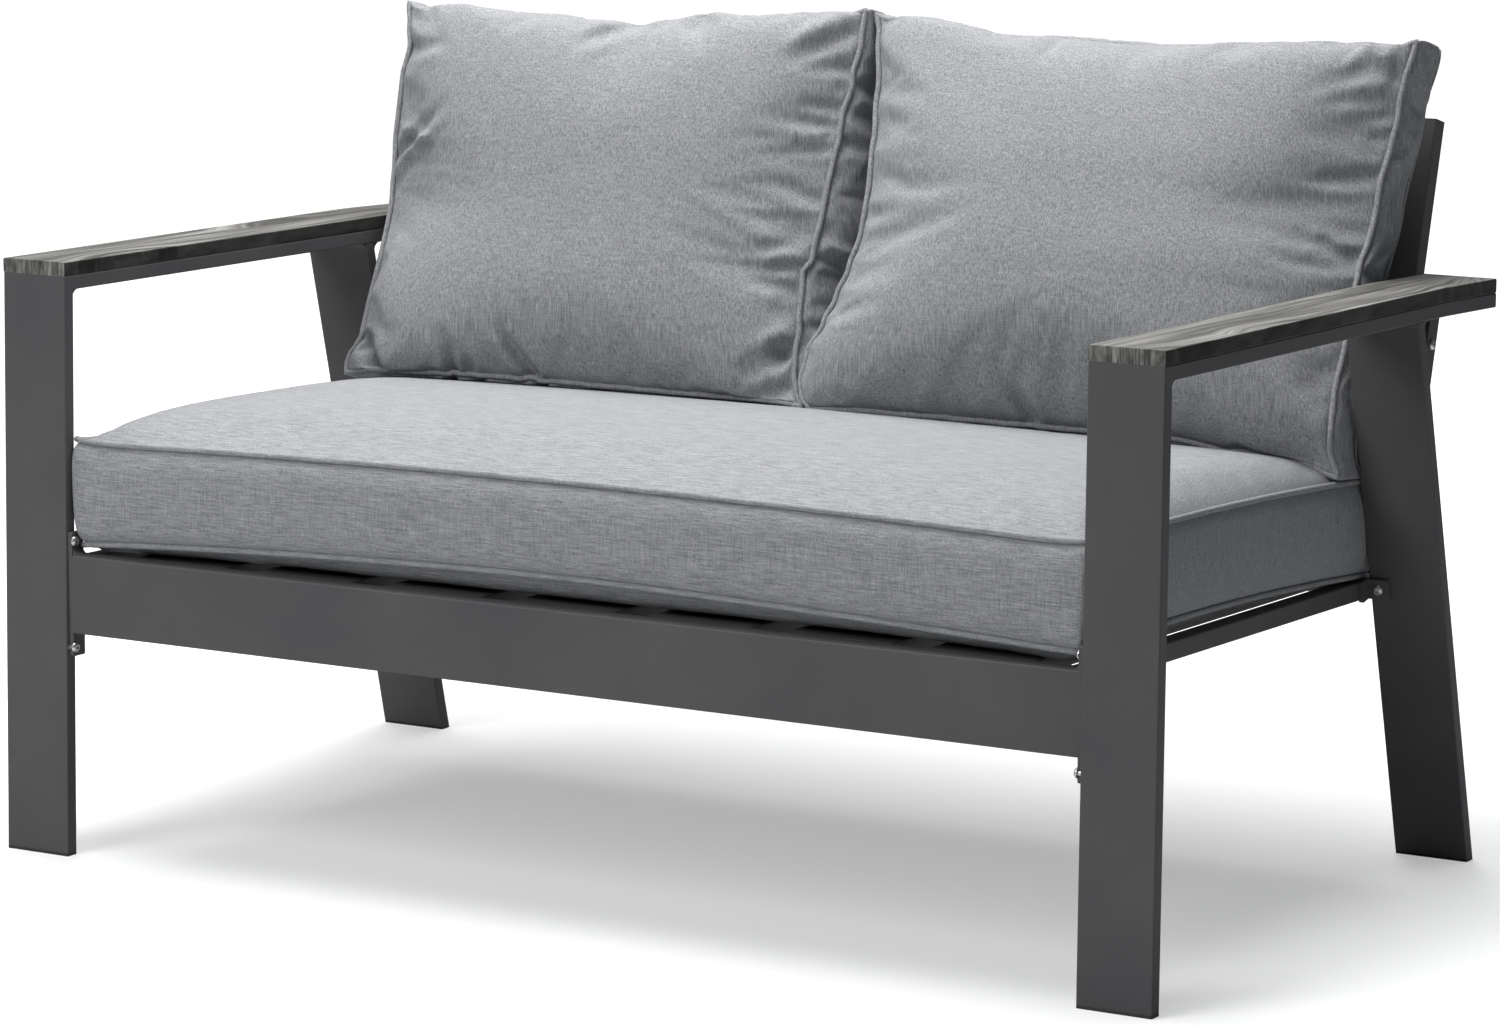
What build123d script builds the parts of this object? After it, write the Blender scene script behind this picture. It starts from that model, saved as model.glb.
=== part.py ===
"""Patio loveseat: two welded flat-tube arm frames, a slatted seat and back, and three loose cushions."""
from build123d import *
from math import cos, radians, sin, tan
import os

# Overall width and the flat tube that the arm frames and the back slats are made of
overall_width = 1300.0
flat_width = 77.0
flat_depth = 14.0
tube_wall = 1.5
tube_edge = 1.5
weld_radius = 9.0
overrun = 60.0

# Arm frame, seen from the side: y runs back from the front foot, z runs up from the floor
arm_height = 578.0
front_leg_lean_deg = 3.0
rear_foot_y = 639.5
rear_leg_lean_deg = -11.6
arm_fall_deg = 2.05
arm_rear_fall_deg = 3.3
arm_front_length = 540.0
arm_bend_radius = 1500.0
arm_overhang = 5.5
armrest_thick = 14.0
armrest_edge = 1.5
glide_thick = 3.0
glide_plug = 12.0
arm_cap_thick = 8.0
upright_cap_thick = 2.0
cap_plug = 10.0
plug_clearance = 0.2

# Seat frame
seat_height = 302.0
seat_fall_deg = 2.05
seat_setback = 3.0
end_plate = 5.0
front_rail_height = 78.0
front_rail_depth = 25.0
plate_depth = 18.0
plate_overhang = 23.0
plate_corner = 2.0
side_rail_width = 20.0
side_rail_height = 18.0
deck_slat_count = 7
deck_slat_width = 115.0
deck_length = 559.0
bracket_reach = 22.0
bracket_height = 20.0
bracket_length = 16.0
bracket_bolt_drop = 5.0

# Back frame, leaning back from the rear edge of the deck
back_lean_deg = 17.0
upright_width = 40.0
upright_depth = 20.0
upright_length = 449.0
top_rail_height = 40.0
back_slat_count = 7
tab_width = 20.0
tab_length = 84.0
tab_bolt_drop = 40.0
tab_offset = 17.0
spacer_diameter = 12.0

# Bolts, threaded inserts and screws
bolt_diameter = 6.0
bolt_head_diameter = 10.5
bolt_head_height = 3.3
bolt_socket = 4.0
button_rim_share = 0.25
button_flat_share = 0.27
button_socket_share = 0.5
bolt_edge_distance = 9.0
bolt_clearance = 0.6
insert_diameter = 9.0
insert_length = 8.0
thread_clearance = 0.2
screw_diameter = 4.0
screw_head_diameter = 8.0
screw_head_height = 2.4
screw_socket = 2.5
screw_bite = 9.0
screw_place_shares = (0.15, 0.5, 0.85)

# Cushions
cushion_clearance = 0.4
seat_cushion_side_gap = 9.0
seat_cushion_setback = 12.0
seat_cushion_rear_gap = 6.0
seat_cushion_seam_low = 15.0
seat_cushion_seam_high = 109.0
seat_cushion_crown = 26.0
seat_cushion_rear_slope = 80.0
seat_cushion_spread = 5.0
seat_cushion_tilt_deg = -1.5
back_cushion_side_gap = 3.0
back_cushion_middle_gap = 4.0
back_cushion_height = 412.0
back_cushion_seam_rear = 86.0
back_cushion_seam_front = 140.0
back_cushion_crown = 46.0
back_cushion_tilt_deg = -3.0
left_cushion_turn_deg = 0.8
right_cushion_turn_deg = 4.0
seat_cushion_draws = (4.0, 4.0, 4.0, 4.0)
back_cushion_draws = (3.0, 5.0, 18.0, 20.0)
cushion_corner = 12.0
seat_crown_shares = ((0.0, 0.0), (0.4, 0.022), (0.74, 0.055), (0.93, 0.11), (1.0, 0.2))
back_crown_shares = ((0.0, 0.0), (0.36, 0.07), (0.68, 0.16), (0.9, 0.28), (1.0, 0.4))
crown_round_share = 0.8
full_round_share = 0.9
seat_belly_shares = ((0.0, 0.0), (0.5, 0.04), (0.84, 0.1), (1.0, 0.2))
back_belly_shares = ((0.0, 0.0), (0.45, 0.07), (0.82, 0.17), (1.0, 0.3))
foot_crown_share = 0.48
border_bulge_share = 0.03

# Places that follow from the sizes above
arm_inner_x = overall_width / 2 - flat_width
arm_centre_x = overall_width / 2 - flat_width / 2
frame_half_width = arm_inner_x - end_plate
side_rail_x = frame_half_width - side_rail_width / 2
upright_x = frame_half_width - upright_width / 2
arm_corner_y = arm_height * tan(radians(front_leg_lean_deg))
seat_front_y = seat_height * tan(radians(front_leg_lean_deg)) + seat_setback
back_over_deck = back_lean_deg - seat_fall_deg


def leaning_plane(y, z, lean):
    """Plane at (y, z) whose z axis leans back by lean degrees and whose y axis points to the rear."""
    turn = radians(lean)
    return Plane(origin=(0, y, z), x_dir=(1, 0, 0), z_dir=(0, sin(turn), cos(turn)))


def along(fall):
    """Unit vector in (y, z) that runs to the rear and falls by the given degrees."""
    return Vector(cos(radians(fall)), -sin(radians(fall)))


def upward(lean):
    """Unit vector in (y, z) that runs up and leans back by the given degrees."""
    return Vector(sin(radians(lean)), cos(radians(lean)))


seat_plane = leaning_plane(seat_front_y, seat_height, seat_fall_deg)
deck_end = Vector(seat_front_y, seat_height) + along(seat_fall_deg) * (front_rail_depth + deck_length)
back_plane = leaning_plane(deck_end.X, deck_end.Y, back_lean_deg)
rear_leg_plane = leaning_plane(rear_foot_y, 0, rear_leg_lean_deg)
front_leg_plane = leaning_plane(0, 0, front_leg_lean_deg)

arm_corner = Vector(arm_corner_y, arm_height)
bend_start = arm_corner + along(arm_fall_deg) * arm_front_length
bend_centre = bend_start - upward(arm_fall_deg) * arm_bend_radius
bend_middle_fall = (arm_fall_deg + arm_rear_fall_deg) / 2

upright_top = deck_end + upward(back_lean_deg) * upright_length
overall_depth = upright_top.X + upright_depth * cos(radians(back_lean_deg))
overall_depth += upright_cap_thick * sin(radians(back_lean_deg))


def tail_underside():
    """Point on the arm rail's underside where the bend ends."""
    return bend_centre + upward(arm_rear_fall_deg) * (arm_bend_radius - flat_depth)


def tab_top():
    """Where the middle line of the upright passes the arm rail's underside."""
    start = deck_end + along(back_lean_deg) * (upright_depth / 2)
    under = tail_underside()
    up = upward(back_lean_deg)
    normal = upward(arm_rear_fall_deg)
    return start + up * ((under - start).dot(normal) / up.dot(normal))


arm_tail_length = (tab_top() - tail_underside()).dot(along(arm_rear_fall_deg)) + arm_overhang


def tube(width, depth, length):
    """Hollow tube with rounded outer edges, standing on its centre."""
    outer = RectangleRounded(width, depth, tube_edge)
    inner = Rectangle(width - 2 * tube_wall, depth - 2 * tube_wall)
    return extrude(outer - inner, amount=length)


def bore(diameter, length):
    """Drill that starts at the origin and runs up the z axis."""
    return Cylinder(diameter / 2, length, align=(Align.CENTER, Align.CENTER, Align.MIN))


def mirrored(shape):
    """The same piece on the other side of the seat."""
    return mirror(shape, about=Plane.YZ)


def cove(corner, first, second, radius):
    """Face that fills the corner between two directions up to an arc that touches both."""
    half = radians(first.get_angle(second)) / 2
    reach = radius / tan(half)
    middle = (first + second).normalized()
    start = corner + first * reach
    end = corner + second * reach
    low = corner + middle * (radius / sin(half) - radius)
    edges = Line(corner, start) + ThreePointArc(start, low, end) + Line(end, corner)
    return make_face(edges)


def side_prism(face, x_start, width):
    """Prism across the seat, from a face drawn in (y, z)."""
    return Pos(x_start, 0, 0) * extrude(Plane.YZ * face, amount=width)


def arm_path(depth, front_overrun, tail_cut):
    """Line along the arm at a depth below the rail's top: straight, bent over the rear leg, straight."""
    radius = arm_bend_radius - depth
    bend_in = bend_centre + upward(arm_fall_deg) * radius
    bend_mid = bend_centre + upward(bend_middle_fall) * radius
    bend_out = bend_centre + upward(arm_rear_fall_deg) * radius
    start = bend_in - along(arm_fall_deg) * (arm_front_length + front_overrun)
    end = bend_out + along(arm_rear_fall_deg) * (arm_tail_length - tail_cut)
    path = Line(start, bend_in) + ThreePointArc(bend_in, bend_mid, bend_out) + Line(bend_out, end)
    return Plane.YZ * path


def arm_sweep(section, depth, front_overrun, tail_cut):
    """Section swept along the arm on the right-hand side of the seat."""
    path = Pos(arm_centre_x, 0, 0) * arm_path(depth, front_overrun, tail_cut)
    start = path.edges().sort_by(Axis.Y)[0] @ 0
    turn = radians(arm_fall_deg)
    plane = Plane(origin=start, x_dir=(1, 0, 0), z_dir=(0, cos(turn), -sin(turn)))
    return sweep(plane * section, path=path)


def mitre_plane():
    """Plane that halves the corner between front leg and arm rail, facing the rail."""
    normal = along(arm_fall_deg) + upward(front_leg_lean_deg)
    return Plane(origin=(0, arm_corner.X, arm_corner.Y), z_dir=(0, normal.X, normal.Y))


def underside_plane():
    """Plane of the arm rail's underside in front of the bend, facing up."""
    return leaning_plane(arm_corner.X, arm_corner.Y, arm_fall_deg).offset(-flat_depth)


def arm_rail():
    section = RectangleRounded(flat_width, flat_depth, tube_edge)
    section -= Rectangle(flat_width - 2 * tube_wall, flat_depth - 2 * tube_wall)
    rail = arm_sweep(section, flat_depth / 2, overrun, arm_cap_thick)
    rail = split(rail, bisect_by=mitre_plane(), keep=Keep.TOP)
    for plane in armrest_screw_planes():
        rail -= plane * bore(screw_diameter + thread_clearance, flat_depth)
    return rail


def armrest():
    section = RectangleRounded(flat_width, armrest_thick, armrest_edge)
    slat = arm_sweep(section, -armrest_thick / 2, 0, 0)
    for plane in armrest_screw_planes():
        hole = bore(screw_diameter + thread_clearance, flat_depth + screw_bite)
        slat -= plane * hole
    return slat


def armrest_screw_planes():
    """Places under the arm rail where a screw goes up into the armrest, facing up."""
    planes = []
    for share in screw_place_shares:
        place = arm_corner + along(arm_fall_deg) * (arm_front_length * share)
        plane = leaning_plane(place.X, place.Y, arm_fall_deg).offset(-flat_depth)
        plane.origin = plane.origin + Vector(arm_centre_x, 0, 0)
        planes.append(plane)
    return planes


def leg_tube(plane):
    return plane * Pos(arm_centre_x, flat_depth / 2, -overrun) * tube(
        flat_width, flat_depth, arm_height + 2 * overrun)


def standing(leg):
    """Leg cut level above its glide."""
    return split(leg, bisect_by=Plane.XY.offset(glide_thick), keep=Keep.TOP)


def corner_weld(corner, first, second):
    face = cove(corner, first, second, weld_radius)
    return side_prism(face, arm_inner_x + tube_edge, flat_width - 2 * tube_edge)


def plate_bolt_places():
    """Heights, from the seat plane, of the two bolts in each end plate."""
    high = plate_overhang - bolt_edge_distance
    low = -front_rail_height - plate_overhang + bolt_edge_distance
    return high, low


def plate_bolt_plane(height):
    """Place on the leg's inner side at a height above the seat plane, facing the middle of the seat."""
    level = Vector(seat_front_y, seat_height) + upward(seat_fall_deg) * height
    middle = flat_depth / 2 / cos(radians(front_leg_lean_deg))
    y = level.Y * tan(radians(front_leg_lean_deg)) + middle
    return Plane(origin=(arm_inner_x, y, level.Y), x_dir=(0, 1, 0), z_dir=(-1, 0, 0))


def front_leg():
    leg = standing(leg_tube(front_leg_plane))
    leg = split(leg, bisect_by=mitre_plane(), keep=Keep.BOTTOM)
    lean_in = along(arm_fall_deg) - upward(front_leg_lean_deg)
    reach = flat_depth / cos(radians(front_leg_lean_deg - arm_fall_deg))
    inner_corner = arm_corner + lean_in * reach
    leg += corner_weld(inner_corner, along(arm_fall_deg), -upward(front_leg_lean_deg))
    for height in plate_bolt_places():
        leg -= plate_bolt_plane(height).offset(-flat_depth) * bore(insert_diameter, flat_depth)
    return leg


def rear_leg_corner(offset):
    """Where a face of the rear leg, offset from its front face, meets the arm rail's underside."""
    foot = Vector(rear_foot_y, 0) + along(rear_leg_lean_deg) * offset
    under = arm_corner - upward(arm_fall_deg) * flat_depth
    up = upward(rear_leg_lean_deg)
    normal = upward(arm_fall_deg)
    return foot + up * ((under - foot).dot(normal) / up.dot(normal))


def rear_leg():
    leg = standing(leg_tube(rear_leg_plane))
    leg = split(leg, bisect_by=underside_plane(), keep=Keep.BOTTOM)
    down = -upward(rear_leg_lean_deg)
    leg += corner_weld(rear_leg_corner(0), -along(arm_fall_deg), down)
    leg += corner_weld(rear_leg_corner(flat_depth), along(arm_fall_deg), down)
    leg -= bracket_bolt_plane().offset(-tube_wall) * bore(insert_diameter, tube_wall)
    return leg


def foot_glide(plane):
    """Plastic foot: a flange under the leg's end and a plug up inside the tube."""
    stem = Pos(arm_centre_x, flat_depth / 2, -overrun)
    height = glide_plug + 2 * overrun
    flange = extrude(RectangleRounded(flat_width, flat_depth, tube_edge), amount=height)
    inset = 2 * (tube_wall + plug_clearance)
    plug = extrude(Rectangle(flat_width - inset, flat_depth - inset), amount=height)
    flange = split(plane * stem * flange, bisect_by=Plane.XY, keep=Keep.TOP)
    flange = split(flange, bisect_by=Plane.XY.offset(glide_thick), keep=Keep.BOTTOM)
    plug = split(plane * stem * plug, bisect_by=Plane.XY, keep=Keep.TOP)
    plug = split(plug, bisect_by=Plane.XY.offset(glide_thick + glide_plug), keep=Keep.BOTTOM)
    return flange + plug


def arm_cap():
    """Plastic plug that closes the arm rail's rear end."""
    bend_out = bend_centre + upward(arm_rear_fall_deg) * (arm_bend_radius - flat_depth / 2)
    end = bend_out + along(arm_rear_fall_deg) * arm_tail_length
    turn = radians(arm_rear_fall_deg)
    plane = Plane(origin=(arm_centre_x, end.X, end.Y), x_dir=(1, 0, 0), z_dir=(0, -cos(turn), sin(turn)))
    inset = 2 * (tube_wall + plug_clearance)
    cap = extrude(RectangleRounded(flat_width, flat_depth, tube_edge), amount=arm_cap_thick)
    cap += extrude(Rectangle(flat_width - inset, flat_depth - inset), amount=arm_cap_thick + cap_plug)
    return plane * cap


def front_rail():
    rail = tube(front_rail_height, front_rail_depth, 2 * frame_half_width)
    turned = Rot(0, 90, 0) * rail
    return seat_plane * Pos(-frame_half_width, front_rail_depth / 2, -front_rail_height / 2) * turned


def end_plate_node():
    """Plate welded to the front rail's end and bolted to the front leg, with a weld above the rail."""
    height = front_rail_height + 2 * plate_overhang
    plate = extrude(RectangleRounded(plate_depth, height, plate_corner), amount=end_plate)
    middle = -front_rail_height / 2
    plate = Pos(frame_half_width, plate_depth / 2, middle) * (Plane.YZ * plate)
    face = cove(Vector(frame_half_width, 0), Vector(-1, 0), Vector(0, 1), weld_radius)
    weld = extrude(Plane.XZ * face, amount=2 * tube_edge - plate_depth)
    plate += Pos(0, tube_edge, 0) * weld
    plate = seat_plane * plate
    for height in plate_bolt_places():
        plate -= plate_bolt_plane(height) * bore(bolt_diameter + bolt_clearance, end_plate)
    return plate


def rear_cut():
    """Plane of the back's front face, facing the rear."""
    turn = radians(back_lean_deg)
    return Plane(origin=(0, deck_end.X, deck_end.Y), z_dir=(0, cos(turn), -sin(turn)))


def deck_tube(width, height, x):
    """Tube from the front rail to the back's front face, its top level with the deck."""
    member = Rot(-90, 0, 0) * tube(width, height, deck_length + overrun)
    member = seat_plane * Pos(x, front_rail_depth, -height / 2) * member
    return split(member, bisect_by=rear_cut(), keep=Keep.BOTTOM)


def slat_places(count, width, inner):
    """Middles of evenly spaced slats between two members an inner width apart."""
    gap = (inner - count * width) / (count + 1)
    pitch = width + gap
    return [pitch * (i - (count - 1) / 2) for i in range(count)]


def rear_rail():
    length = 2 * (frame_half_width - upright_width)
    rail = Rot(0, 90, 0) * tube(side_rail_height, upright_depth, length)
    return back_plane * Pos(-length / 2, upright_depth / 2, -side_rail_height / 2) * rail


def bracket_bolt_plane():
    """Place of the seat's rear bolt on the rear leg's front face, facing forward."""
    level = deck_end - upward(seat_fall_deg) * bracket_bolt_drop
    x = arm_inner_x + bracket_reach / 2
    up = level.Y / cos(radians(rear_leg_lean_deg))
    place = rear_leg_plane.location * Pos(x, 0, up)
    turn = radians(rear_leg_lean_deg)
    return Plane(origin=place.position, x_dir=(1, 0, 0), z_dir=(0, -cos(turn), sin(turn)))


def rear_bracket():
    """Angle piece welded to the side rail and bolted to the rear leg's front face."""
    face_plane = bracket_bolt_plane()
    wing = Box(bracket_reach + end_plate, bracket_height, end_plate,
               align=(Align.CENTER, Align.CENTER, Align.MIN))
    wing = face_plane * Pos(-end_plate / 2, 0, 0) * wing
    web = Box(end_plate, bracket_height, bracket_length,
              align=(Align.CENTER, Align.CENTER, Align.MIN))
    web = face_plane * Pos(-bracket_reach / 2 - end_plate / 2, 0, 0) * web
    bracket = wing + web
    return bracket - face_plane * bore(bolt_diameter + bolt_clearance, end_plate)


def upright():
    low = side_rail_height + overrun
    post = tube(upright_width, upright_depth, upright_length + low)
    post = back_plane * Pos(upright_x, upright_depth / 2, -low) * post
    post = split(post, bisect_by=seat_plane.offset(-side_rail_height), keep=Keep.TOP)
    return post - tab_bolt_plane().offset(-insert_length) * bore(insert_diameter, insert_length)


def upright_cap():
    inset = 2 * (tube_wall + plug_clearance)
    cap = extrude(RectangleRounded(upright_width, upright_depth, tube_edge), amount=upright_cap_thick)
    cap += extrude(Rectangle(upright_width - inset, upright_depth - inset), amount=-cap_plug)
    return back_plane * Pos(upright_x, upright_depth / 2, upright_length) * cap


def top_rail():
    length = 2 * (frame_half_width - upright_width)
    rail = Rot(0, 90, 0) * tube(top_rail_height, upright_depth, length)
    level = upright_length - top_rail_height / 2
    return back_plane * Pos(-length / 2, upright_depth / 2, level) * rail


def back_slat(x):
    slat = tube(flat_width, flat_depth, upright_length - top_rail_height)
    return back_plane * Pos(x, flat_depth / 2, 0) * slat


def tab_bolt_plane():
    """Place on the upright's outer side where the tab's bolt enters it, facing outward."""
    place = tab_top() - upward(back_lean_deg) * tab_bolt_drop
    return Plane(origin=(frame_half_width, place.X, place.Y), x_dir=(0, 1, 0), z_dir=(1, 0, 0))


def back_tab():
    """Plate that hangs from the arm rail's tail beside the upright, in line with it."""
    top = tab_top()
    plane = leaning_plane(top.X, top.Y, back_lean_deg)
    length = tab_length + overrun
    blank = RectangleRounded(tab_width, 2 * length, plate_corner)
    blank = extrude(Plane.YZ * blank, amount=end_plate)
    blank = plane * Pos(frame_half_width + tab_offset, 0, length - tab_length) * blank
    under = tail_underside()
    cut = leaning_plane(under.X, under.Y, arm_rear_fall_deg)
    tab = split(blank, bisect_by=cut, keep=Keep.BOTTOM)
    return tab - tab_bolt_plane().offset(tab_offset) * bore(bolt_diameter + bolt_clearance, end_plate)


def back_spacer():
    """Bush between the upright and the tab, around the bolt."""
    bush = bore(spacer_diameter, tab_offset) - bore(bolt_diameter + bolt_clearance, tab_offset)
    return tab_bolt_plane() * bush


def button_bolt(diameter, length, head_diameter, head_height, socket):
    """Button-head bolt: its head stands on the origin and its shank runs down the z axis."""
    rim = Vector(head_diameter / 2, head_height * button_rim_share)
    flat = Vector(head_diameter * button_flat_share, head_height)
    edges = Line((0, 0), (rim.X, 0)) + Line((rim.X, 0), rim)
    edges += RadiusArc(rim, flat, -head_height)
    edges += Line(flat, (0, head_height)) + Line((0, head_height), (0, 0))
    head = revolve(Plane.XZ * make_face(edges), axis=Axis.Z)
    recess = extrude(RegularPolygon(socket / 2, 6, major_radius=False), amount=head_height)
    head -= Pos(0, 0, head_height * (1 - button_socket_share)) * recess
    return head + Pos(0, 0, -length) * bore(diameter, length)


def frame_bolt(length):
    return button_bolt(bolt_diameter, length, bolt_head_diameter, bolt_head_height, bolt_socket)


def insert():
    """Threaded insert: its rim is level with the tube's face and its barrel runs down the z axis."""
    barrel = bore(insert_diameter - thread_clearance, insert_length)
    barrel -= bore(bolt_diameter + thread_clearance, insert_length)
    return Pos(0, 0, -insert_length) * barrel


def both_sides(shapes):
    """The given solids and their mirror images, which share one node."""
    return shapes + [mirrored(shape) for shape in shapes]


def drawn_outline(width, height, inset, draws):
    """Cushion outline: its foot, right side, top and left side are drawn in between rounded corners."""
    w = width / 2 - inset
    h = height / 2 - inset
    r = min(cushion_corner + max(inset, 0) * crown_round_share, min(w, h) * full_round_share)
    foot, right, top, left = draws
    c = r * (1 - sin(radians(45)))
    edges = ThreePointArc((-w + r, -h), (0, -h + foot), (w - r, -h))
    edges += ThreePointArc((w - r, -h), (w - c, -h + c), (w, -h + r))
    edges += ThreePointArc((w, -h + r), (w - right, 0), (w, h - r))
    edges += ThreePointArc((w, h - r), (w - c, h - c), (w - r, h))
    edges += ThreePointArc((w - r, h), (0, h - top), (-w + r, h))
    edges += ThreePointArc((-w + r, h), (-w + c, h - c), (-w, h - r))
    edges += ThreePointArc((-w, h - r), (-w + left, 0), (-w, -h + r))
    edges += ThreePointArc((-w, -h + r), (-w + c, -h + c), (-w + r, -h))
    return make_face(edges)


def stuffed(size, draws, levels, belly_shares, crown_shares, spread=0, rear_slope=0, tilt=0, turn=0):
    """Cushion with a flat-based belly, a bulging border between two tilted seams, and a crowned face."""
    width, height = size
    low, seam_low, seam_high, high = levels
    short = min(width, height)
    bulge = (seam_high - seam_low) * border_bulge_share
    border_middle = (seam_low + seam_high) / 2

    def section(level, inset, slope=0, share=1):
        outline = drawn_outline(width, height - slope, inset, draws)
        outline = Pos(0, -slope / 2, level - border_middle) * outline
        return Pos(0, 0, border_middle) * Rot(tilt * share, turn * share, 0) * outline

    belly = []
    for drop, inset in belly_shares:
        belly.append(section(seam_low - (seam_low - low) * drop, short * inset, share=1 - drop))
    border = [section(seam_low, 0)]
    border.append(section(border_middle, -bulge - spread / 2))
    border.append(section(seam_high, -spread))
    crown = []
    for rise, inset in crown_shares:
        level = seam_high + (high - seam_high) * rise
        crown.append(section(level, short * inset - spread, slope=rear_slope * rise))
    return loft(belly) + loft(border) + loft(crown)


def seat_cushion():
    width = 2 * (arm_inner_x - seat_cushion_side_gap)
    depth = front_rail_depth + deck_length - seat_cushion_setback - seat_cushion_rear_gap
    top = seat_cushion_seam_high + seat_cushion_crown
    levels = (cushion_clearance, seat_cushion_seam_low, seat_cushion_seam_high, top)
    body = stuffed((width, depth), seat_cushion_draws, levels, seat_belly_shares, seat_crown_shares,
                   spread=seat_cushion_spread, rear_slope=seat_cushion_rear_slope,
                   tilt=seat_cushion_tilt_deg)
    return seat_plane * Pos(0, seat_cushion_setback + depth / 2, 0) * body


def back_cushion_foot():
    """Height up the back at which the back cushion's rear seam clears the seat cushion's crown."""
    over_deck = radians(back_over_deck)
    seam = back_cushion_seam_rear - back_cushion_height / 2 * sin(radians(back_cushion_tilt_deg))
    crown = seat_cushion_seam_high + seat_cushion_crown * foot_crown_share + cushion_clearance
    return crown / cos(over_deck) - seam * tan(over_deck)


def back_cushion(turn):
    """Back cushion on the right-hand side, its belly flat against the slats."""
    width = arm_inner_x - back_cushion_side_gap - back_cushion_middle_gap
    top = back_cushion_seam_front + back_cushion_crown
    levels = (cushion_clearance, back_cushion_seam_rear, back_cushion_seam_front, top)
    body = stuffed((width, back_cushion_height), back_cushion_draws, levels, back_belly_shares,
                   back_crown_shares, tilt=back_cushion_tilt_deg, turn=turn)
    x = back_cushion_middle_gap + width / 2
    facing = Rot(90, 0, 0) * body
    return back_plane * Pos(x, 0, back_cushion_foot() + back_cushion_height / 2) * facing


def seat_front_bolts():
    bolts = []
    for height in plate_bolt_places():
        bolts.append(plate_bolt_plane(height).offset(end_plate) * frame_bolt(end_plate + insert_length))
    return both_sides(bolts)


def seat_rear_bolts():
    bolt = bracket_bolt_plane().offset(end_plate) * frame_bolt(end_plate + insert_length)
    return both_sides([bolt])


def back_bolts():
    reach = tab_offset + end_plate
    bolt = tab_bolt_plane().offset(reach) * frame_bolt(reach + insert_length)
    return both_sides([bolt])


def threaded_inserts():
    inserts = []
    for height in plate_bolt_places():
        inserts.append(plate_bolt_plane(height) * insert())
    inserts.append(bracket_bolt_plane() * insert())
    inserts.append(tab_bolt_plane() * insert())
    return both_sides(inserts)


def armrest_screws():
    length = flat_depth + screw_bite
    screw = button_bolt(screw_diameter, length, screw_head_diameter, screw_head_height, screw_socket)
    upside_down = Rot(180, 0, 0) * screw
    return both_sides([plane * upside_down for plane in armrest_screw_planes()])


nodes = {}
pairs = {
    "front_leg": front_leg(),
    "rear_leg": rear_leg(),
    "arm_rail": arm_rail(),
    "armrest": armrest(),
    "seat_end_plate": end_plate_node(),
    "seat_side_rail": deck_tube(side_rail_width, side_rail_height, side_rail_x),
    "seat_rear_bracket": rear_bracket(),
    "back_upright": upright(),
    "back_upright_cap": upright_cap(),
    "back_tab": back_tab(),
}
for name, shape in pairs.items():
    nodes["right_" + name] = [shape]
    nodes["left_" + name] = [mirrored(shape)]

nodes["seat_front_rail"] = [front_rail()]
nodes["seat_rear_rail"] = [rear_rail()]
deck_inner = 2 * (frame_half_width - side_rail_width)
for number, x in enumerate(slat_places(deck_slat_count, deck_slat_width, deck_inner), start=1):
    nodes[f"deck_slat_{number}"] = [deck_tube(deck_slat_width, flat_depth, x)]
nodes["back_top_rail"] = [top_rail()]
back_inner = 2 * (frame_half_width - upright_width)
for number, x in enumerate(slat_places(back_slat_count, flat_width, back_inner), start=1):
    nodes[f"back_slat_{number}"] = [back_slat(x)]
nodes["foot_glides"] = both_sides([foot_glide(front_leg_plane), foot_glide(rear_leg_plane)])
nodes["arm_end_caps"] = both_sides([arm_cap()])
nodes["back_spacers"] = both_sides([back_spacer()])
nodes["seat_front_bolts"] = seat_front_bolts()
nodes["seat_rear_bolts"] = seat_rear_bolts()
nodes["back_bolts"] = back_bolts()
nodes["threaded_inserts"] = threaded_inserts()
nodes["armrest_screws"] = armrest_screws()
nodes["seat_cushion"] = [seat_cushion()]
nodes["left_back_cushion"] = [mirrored(back_cushion(left_cushion_turn_deg))]
nodes["right_back_cushion"] = [back_cushion(right_cushion_turn_deg)]

os.makedirs("parts", exist_ok=True)
for name, shapes in nodes.items():
    centred = [Pos(0, -overall_depth / 2, 0) * shape for shape in shapes]
    node = centred[0] if len(centred) == 1 else Compound(children=centred)
    export_step(node, f"parts/{name}.step")
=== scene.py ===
# Patio loveseat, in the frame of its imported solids: metres, X to the right, the front faces -Y, Z up.
import math
import bmesh
import bpy
from mathutils import Matrix, Vector
from mathutils.bvhtree import BVHTree


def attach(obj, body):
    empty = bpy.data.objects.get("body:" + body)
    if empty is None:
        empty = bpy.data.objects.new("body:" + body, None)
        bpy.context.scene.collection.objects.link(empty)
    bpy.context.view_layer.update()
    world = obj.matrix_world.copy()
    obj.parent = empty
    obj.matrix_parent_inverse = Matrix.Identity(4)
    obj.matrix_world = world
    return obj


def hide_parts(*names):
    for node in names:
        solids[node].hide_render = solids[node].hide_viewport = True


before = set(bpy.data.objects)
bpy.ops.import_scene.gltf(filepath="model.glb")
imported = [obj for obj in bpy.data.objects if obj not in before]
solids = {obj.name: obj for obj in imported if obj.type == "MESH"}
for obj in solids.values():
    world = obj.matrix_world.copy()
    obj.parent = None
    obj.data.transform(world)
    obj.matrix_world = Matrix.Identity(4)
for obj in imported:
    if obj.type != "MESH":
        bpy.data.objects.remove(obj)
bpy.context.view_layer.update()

# Arm frames, seat frame and back frame. Flat tubes, plates and slats of metal, welded and bolted, under
# one charcoal powder coat: a satin skin with a faint orange peel and a slightly cloudy tone.


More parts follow.
